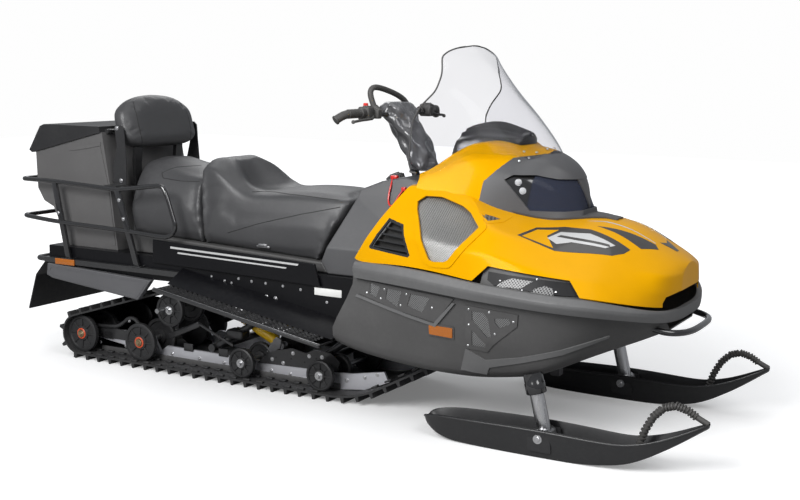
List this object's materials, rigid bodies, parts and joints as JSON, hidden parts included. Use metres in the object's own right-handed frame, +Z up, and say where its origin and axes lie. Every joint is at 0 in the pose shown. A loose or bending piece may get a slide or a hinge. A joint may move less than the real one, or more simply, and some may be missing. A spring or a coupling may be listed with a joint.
{
  "type": "snowmobile",
  "caption": "Utility snowmobile with a wide track, steered skis, a hinged hood with windshield, a long seat with backrest, a cargo box with lid and side racks.",
  "frame": {"origin": "on the ground, under the middle of the machine's length and width", "axes": "+X forward, +Y to the rider's left, +Z up"},
  "size_m": [3.394, 1.132, 1.476],
  "materials": {
    "track_rubber": "matte",
    "wheel_rubber": "satin",
    "rail_aluminium": "satin",
    "axle_steel": "satin",
    "black_plastic": "satin",
    "black_steel": "semi-gloss",
    "spring_yellow": "gloss",
    "grey_plastic": "satin",
    "flap_rubber": "matte",
    "red_lens": "gloss",
    "seat_vinyl": "satin",
    "engine_metal": "matte",
    "yellow_body": "gloss",
    "gloss_black": "gloss",
    "lens": "gloss",
    "clear_shield": "gloss",
    "grey_mesh": "matte",
    "leg_aluminium": "satin",
    "grip_rubber": "matte"
  },
  "bodies": {
    "chassis": {"track": "track_rubber", "slide_rails": "rail_aluminium", "axles": "axle_steel", "road_wheels": "wheel_rubber", "drive_sprockets": "black_plastic", "front_arm": "black_steel", "rear_arm": "black_steel", "shocks": "spring_yellow", "tunnel": "black_steel", "running_boards": "black_steel", "rear_skirts": "grey_plastic", "rear_frame": "black_steel", "snow_flap": "flap_rubber", "tail_lamp": "red_lens", "seat_base": "black_plastic", "side_panels": "black_plastic", "seat_driver": "seat_vinyl", "seat_passenger": "seat_vinyl", "backrest": "seat_vinyl", "backrest_frame": "black_steel", "cargo_box": "black_plastic", "side_racks": "black_steel", "hull_rim": "grey_plastic", "belly_pan": "black_plastic", "leg_collars": "black_plastic", "engine": "engine_metal", "front_loop": "black_steel", "console": "black_plastic", "fuel_cap": "black_plastic", "vent_panels": "black_plastic"},
    "handlebar": {"handlebar": "black_steel", "grips": "grip_rubber", "bar_pad": "grey_plastic", "loop_bar": "grip_rubber", "controls": "black_plastic"},
    "hood": {"hood": "yellow_body", "cowl": "yellow_body", "headlight_pod": "gloss_black", "headlight_lens": "lens", "windshield": "clear_shield", "dash": "black_plastic", "side_meshes": "grey_mesh", "side_louvres": "black_plastic"},
    "ski_left": {"ski_left": "black_plastic", "ski_leg_left": "leg_aluminium"},
    "ski_right": {"ski_right": "black_plastic", "ski_leg_right": "leg_aluminium"},
    "cargo_lid": {"cargo_lid": "black_plastic"}
  },
  "joints": [
    {"name": "steering", "type": "hinge", "parent": "chassis", "child": "handlebar", "pos_m": [0.283, 0, 0.961], "axis": [-0.284, 0, 0.9588], "range_deg": [-33, 33]},
    {"name": "ski_steer_left", "type": "hinge", "parent": "chassis", "child": "ski_left", "pos_m": [1.1, 0.45, 0.07], "axis": [-0.2419, 0, 0.9703], "range_deg": [-28, 28]},
    {"name": "ski_steer_right", "type": "hinge", "parent": "chassis", "child": "ski_right", "pos_m": [1.1, -0.45, 0.07], "axis": [-0.2419, 0, 0.9703], "range_deg": [-28, 28]},
    {"name": "hood_hinge", "type": "hinge", "parent": "chassis", "child": "hood", "pos_m": [1.494, 0, 0.53], "axis": [0, 1, 0], "range_deg": [0, 60]},
    {"name": "lid_hinge", "type": "hinge", "parent": "chassis", "child": "cargo_lid", "pos_m": [-1.184, 0, 1.078], "axis": [0, 1, 0], "range_deg": [0, 60]}
  ],
  "couplings": [
    {"joint": "ski_steer_left", "follows": "steering", "ratio": 0.8},
    {"joint": "ski_steer_right", "follows": "steering", "ratio": 0.8}
  ]
}
